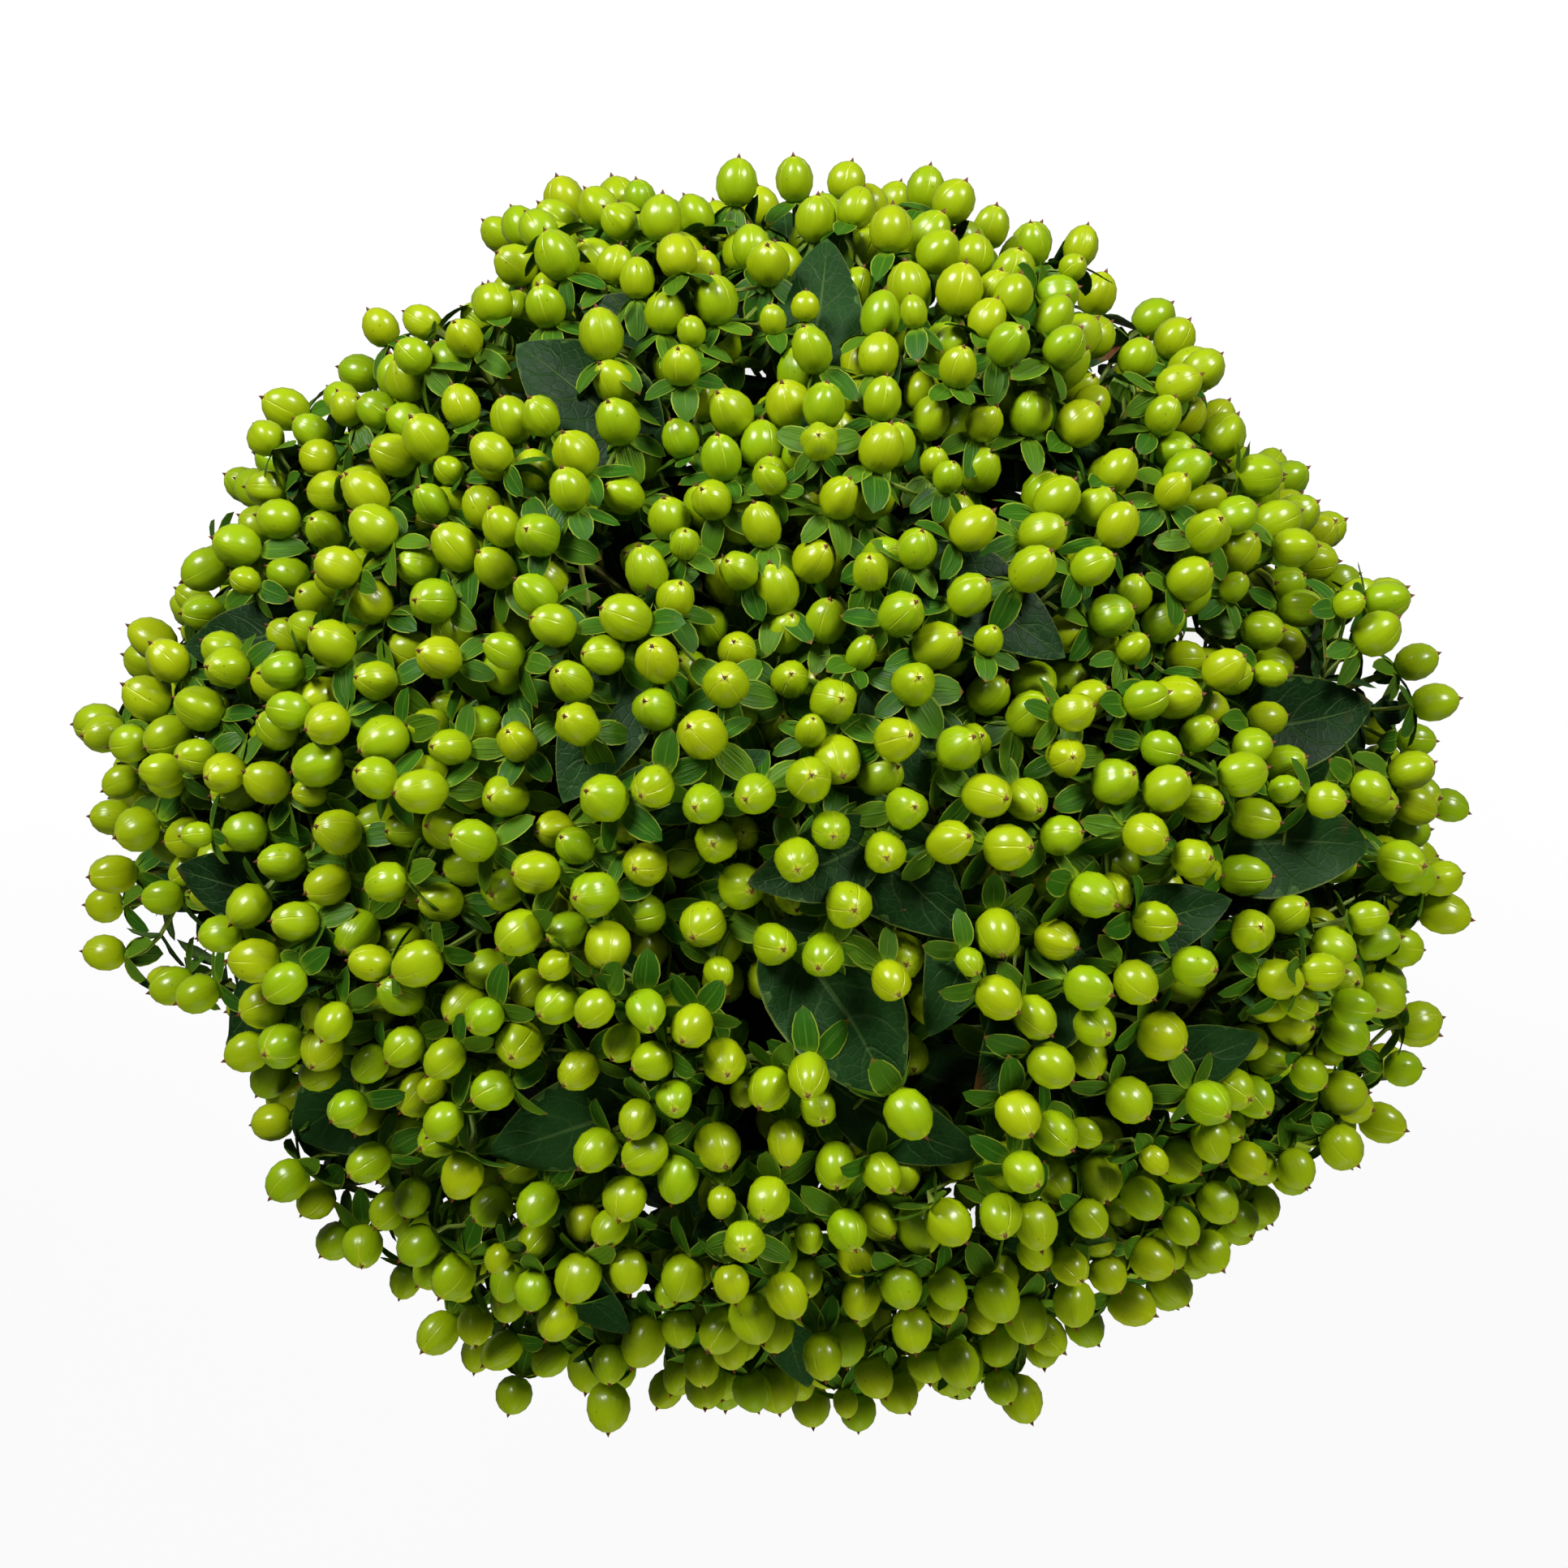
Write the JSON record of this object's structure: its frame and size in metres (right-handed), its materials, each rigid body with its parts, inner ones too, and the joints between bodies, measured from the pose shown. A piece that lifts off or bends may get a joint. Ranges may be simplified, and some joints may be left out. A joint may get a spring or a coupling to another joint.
{
  "type": "hypericum berry bunch",
  "caption": "Round hand-tied bunch of green-berried hypericum branches with dark leaves, held by twine and standing on its cut stems.",
  "frame": {"origin": "on the surface that the bunch stands on, in the middle of the middle stem's cut end", "axes": "+Z up along the middle stem; +X and +Y are the sides of a view from above with +Y up"},
  "size_m": [0.392, 0.3583, 0.467],
  "materials": {
    "berry": "glossy waxy skin of a green berry; the branch's stem and leaves stand in the same node",
    "sepal": "satin leaf skin with a paler rim",
    "leaf": "matt leaf skin with a fine net of veins",
    "bark": "smooth thin bark, green at the tips and brown below",
    "twine": "rough twisted jute"
  },
  "bodies": {
    "root": {"branch_01": "berry", "branch_02": "berry", "branch_03": "berry", "branch_04": "berry", "branch_05": "berry", "branch_06": "berry", "branch_07": "berry", "branch_08": "berry", "branch_09": "berry", "branch_10": "berry", "branch_11": "berry", "branch_12": "berry", "branch_13": "berry", "branch_14": "berry", "branch_15": "berry", "branch_16": "berry", "branch_17": "berry", "branch_18": "berry", "branch_19": "berry", "branch_20": "berry", "branch_21": "berry", "branch_22": "berry", "branch_23": "berry", "branch_24": "berry", "branch_25": "berry", "branch_26": "berry", "branch_27": "berry", "branch_28": "berry", "branch_29": "berry", "branch_30": "berry", "branch_31": "berry", "branch_32": "berry", "branch_33": "berry", "branch_34": "berry", "branch_35": "berry", "branch_36": "berry", "branch_37": "berry", "tie": "twine"}
  },
  "joints": []
}
